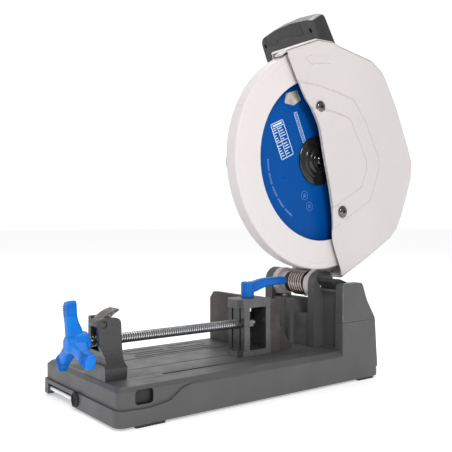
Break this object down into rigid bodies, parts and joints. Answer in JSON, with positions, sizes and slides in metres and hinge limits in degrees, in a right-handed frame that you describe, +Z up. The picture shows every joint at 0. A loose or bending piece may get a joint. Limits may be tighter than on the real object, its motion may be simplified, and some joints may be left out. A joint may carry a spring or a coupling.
{
  "type": "metal-cutting chop saw",
  "caption": "Sprung tilting head with motor, blade and two guards above a skirted base with a screw vise, fence and slotted table.",
  "frame": {"origin": "middle of the whole outline at the feet's underside, head raised", "axes": "+X operator's right, +Y rear, along the vise screw, +Z up"},
  "size_m": [0.2875, 0.693, 0.6628],
  "materials": {
    "base_grey": "satin powder coat on a casting",
    "guard_paint": "light warm grey satin paint",
    "black_plastic": "fine texture",
    "grip_grey": "soft grip moulding",
    "bright_blue": "satin moulding",
    "blade_blue": "blue coated steel",
    "zinc": "bright zinc plate",
    "dark_steel": "black oxide",
    "cast_iron": "rough casting, black",
    "rubber": "matt",
    "windings": "laminations and copper windings"
  },
  "bodies": {
    "base": {"base_casting": "base_grey", "tower_cap": "base_grey", "front_rod": "zinc", "rod_boss": "rubber", "foot_front_left": "rubber", "foot_front_right": "rubber", "foot_rear_left": "rubber", "foot_rear_right": "rubber", "pivot_bracket": "base_grey", "pivot_shaft": "zinc", "torsion_spring": "zinc", "spring_collar": "black_plastic", "depth_stop_bolt": "zinc", "chip_deflector": "black_plastic", "fence": "cast_iron", "fence_bolt_left": "zinc", "fence_bolt_right": "zinc", "nut_block": "base_grey", "release_pin": "dark_steel"},
    "head": {"head_arm": "guard_paint", "gearbox_housing": "guard_paint", "gearbox_cover": "guard_paint", "spindle_bearing": "zinc", "motor_housing": "black_plastic", "motor_end_cap": "bright_blue", "brush_cap_front": "black_plastic", "brush_cap_rear": "black_plastic", "stator": "windings", "upper_guard": "guard_paint", "guard_back_plate": "guard_paint", "guard_screw_upper": "dark_steel", "guard_screw_lower": "dark_steel", "handle_front_shell": "grip_grey", "handle_rear_shell": "grip_grey", "handle_bracket": "black_plastic", "switch_module": "black_plastic", "cord_gland": "rubber"},
    "swing_guard": {"lower_guard": "guard_paint"},
    "blade_assembly": {"spindle": "zinc", "spindle_gear": "dark_steel", "inner_flange": "dark_steel", "outer_flange": "dark_steel", "arbor_bolt": "dark_steel", "saw_blade": "blade_blue"},
    "idler": {"idler_gear": "dark_steel"},
    "motor_rotor": {"armature": "windings", "cooling_fan": "black_plastic", "motor_pinion": "dark_steel"},
    "switch_trigger": {"trigger": "bright_blue"},
    "lock_off": {"lock_off_button": "bright_blue"},
    "spindle_lock": {"spindle_lock_button": "black_plastic"},
    "jaw": {"vise_jaw": "base_grey"},
    "clamp_lever": {"jaw_lever": "bright_blue", "jaw_lever_stud": "zinc"},
    "screw": {"vise_screw": "zinc", "vise_handle": "bright_blue", "screw_end_nut": "zinc"},
    "quick_release": {"release_lever": "dark_steel", "half_nut": "zinc"},
    "transport_pin": {"lock_pin": "dark_steel"}
  },
  "joints": [
    {"name": "head_pivot", "type": "hinge", "parent": "base", "child": "head", "pos_m": [0.0163, 0.1335, 0.168], "axis": [1, 0, 0], "range_deg": [0, 72], "stiffness_Nm_per_rad": 16, "springref_deg": -40.11},
    {"name": "lower_guard_pivot", "type": "hinge", "parent": "head", "child": "swing_guard", "pos_m": [0.0963, 0.1055, 0.388], "axis": [1, 0, 0], "range_deg": [-175, 0]},
    {"name": "blade_spin", "type": "hinge", "parent": "head", "child": "blade_assembly", "pos_m": [0.0963, 0.1055, 0.388], "axis": [1, 0, 0], "continuous": true},
    {"name": "idler_spin", "type": "hinge", "parent": "head", "child": "idler", "pos_m": [0.0463, 0.12138, 0.4131], "axis": [1, 0, 0], "continuous": true},
    {"name": "armature_spin", "type": "hinge", "parent": "head", "child": "motor_rotor", "pos_m": [0.0463, 0.1385, 0.402], "axis": [1, 0, 0], "continuous": true},
    {"name": "trigger_slide", "type": "slide", "parent": "head", "child": "switch_trigger", "axis": [0, -0.5299, 0.848], "range_m": [0, 0.006], "stiffness_N_per_m": 400, "springref_m": -0.004},
    {"name": "lock_off_slide", "type": "slide", "parent": "head", "child": "lock_off", "axis": [0, -0.848, -0.5299], "range_m": [0, 0.004], "stiffness_N_per_m": 300, "springref_m": -0.003},
    {"name": "spindle_lock_slide", "type": "slide", "parent": "head", "child": "spindle_lock", "axis": [1, 0, 0], "range_m": [0, 0.004], "stiffness_N_per_m": 300, "springref_m": -0.003},
    {"name": "jaw_slide", "type": "slide", "parent": "base", "child": "jaw", "axis": [0, -1, 0], "range_m": [0, 0.15]},
    {"name": "screw_turn", "type": "hinge", "parent": "jaw", "child": "screw", "pos_m": [0.0573, -0.3115, 0.11], "axis": [0, -1, 0], "range_deg": [0, 13500]},
    {"name": "jaw_lever_turn", "type": "hinge", "parent": "jaw", "child": "clamp_lever", "pos_m": [0.0543, -0.0155, 0.152], "axis": [0, 0, 1], "range_deg": [0, 100]},
    {"name": "release_lever_turn", "type": "hinge", "parent": "base", "child": "quick_release", "pos_m": [0.0588, -0.301, 0.137], "axis": [1, 0, 0], "range_deg": [0, 65]},
    {"name": "lock_pin_slide", "type": "slide", "parent": "base", "child": "transport_pin", "axis": [1, 0, 0], "range_m": [0, 0.01]}
  ],
  "couplings": [
    {"joint": "lower_guard_pivot", "follows": "head_pivot", "ratio": -2.4306},
    {"joint": "idler_spin", "follows": "blade_spin", "ratio": -3.5},
    {"joint": "armature_spin", "follows": "blade_spin", "ratio": 12.727},
    {"joint": "screw_turn", "follows": "jaw_slide", "rad_per_m": 1570.8}
  ]
}
